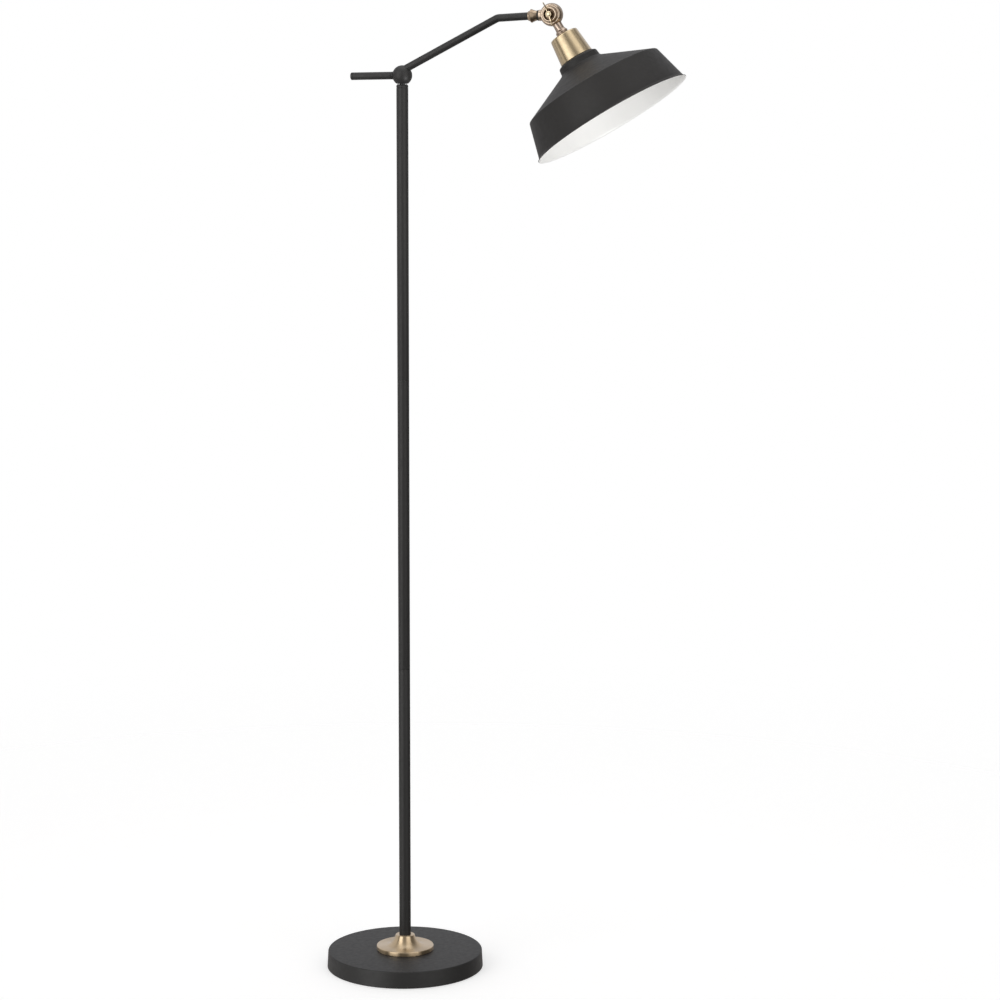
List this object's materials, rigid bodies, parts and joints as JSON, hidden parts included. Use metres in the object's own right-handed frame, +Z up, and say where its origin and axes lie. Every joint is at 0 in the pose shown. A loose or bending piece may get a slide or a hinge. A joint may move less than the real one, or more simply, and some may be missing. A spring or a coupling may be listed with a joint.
{
  "type": "adjustable arm floor lamp",
  "caption": "Floor lamp with a weighted round base, straight pole, swivelling bent arm with a steering handle, and a wide metal shade on a wing-nut knuckle joint.",
  "frame": {"origin": "centre of the base's underside, on the floor", "axes": "+Z up along the pole; +X towards the shade, along the arm at rest; the wing nut faces -Y"},
  "size_m": [0.5868, 0.265, 1.5755],
  "materials": {
    "black_paint": "satin",
    "shade_paint": "satin",
    "brass_polished": "satin",
    "brass_satin": "satin",
    "brass_antique": "satin",
    "cast_iron": "matte",
    "zinc_steel": "satin",
    "nickel": "satin",
    "felt": "matte",
    "black_rubber": "matte",
    "black_nylon": "matte",
    "white_plastic": "satin",
    "lead_sheath": "matte"
  },
  "bodies": {
    "stand": {"base_pad": "felt", "base_weight": "cast_iron", "base_cover": "black_paint", "base_cord_grommet": "black_rubber", "base_nipple": "zinc_steel", "base_washer": "zinc_steel", "base_nut": "zinc_steel", "base_flange": "brass_polished", "pole_foot_plug": "zinc_steel", "pole_lower": "black_paint", "pole_coupler_lower": "zinc_steel", "pole_middle": "black_paint", "pole_coupler_upper": "zinc_steel", "pole_upper": "black_paint", "pole_cap": "black_paint", "swivel_nipple": "zinc_steel", "swivel_washer": "black_nylon", "swivel_spring_washer": "zinc_steel", "swivel_nut": "zinc_steel", "pole_lead": "lead_sheath"},
    "arm": {"ball_joint_body": "black_paint", "handle_fitting": "black_paint", "handle_tube": "black_paint", "handle_end_plug": "black_paint", "arm_tube": "black_paint", "arm_collar": "brass_antique", "arm_washer": "black_rubber", "knuckle_arm_half": "brass_antique", "knuckle_friction_washer": "black_nylon", "wing_washer": "brass_antique", "arm_lead": "lead_sheath"},
    "head": {"knuckle_head_half": "brass_antique", "pivot_bolt": "brass_antique", "stem_washer": "black_rubber", "socket_cup": "brass_satin", "cup_nut": "zinc_steel", "lampholder_body": "white_plastic", "lampholder_shell": "nickel", "lampholder_contact": "nickel", "shade_ring": "white_plastic", "shade": "shade_paint", "head_lead": "lead_sheath"},
    "wing_nut": {"wing_nut": "brass_antique"}
  },
  "joints": [
    {"name": "arm_swivel", "type": "hinge", "parent": "stand", "child": "arm", "pos_m": [0, 0, 1.463], "axis": [0, 0, 1], "range_deg": [-170, 170]},
    {"name": "head_tilt", "type": "hinge", "parent": "arm", "child": "head", "pos_m": [0.2463, 0, 1.5565], "axis": [0, 1, 0], "range_deg": [-156, 34]},
    {"name": "wing_nut_turn", "type": "hinge", "parent": "head", "child": "wing_nut", "pos_m": [0.2463, 0, 1.5565], "axis": [0, -1, 0], "range_deg": [0, 180]}
  ]
}
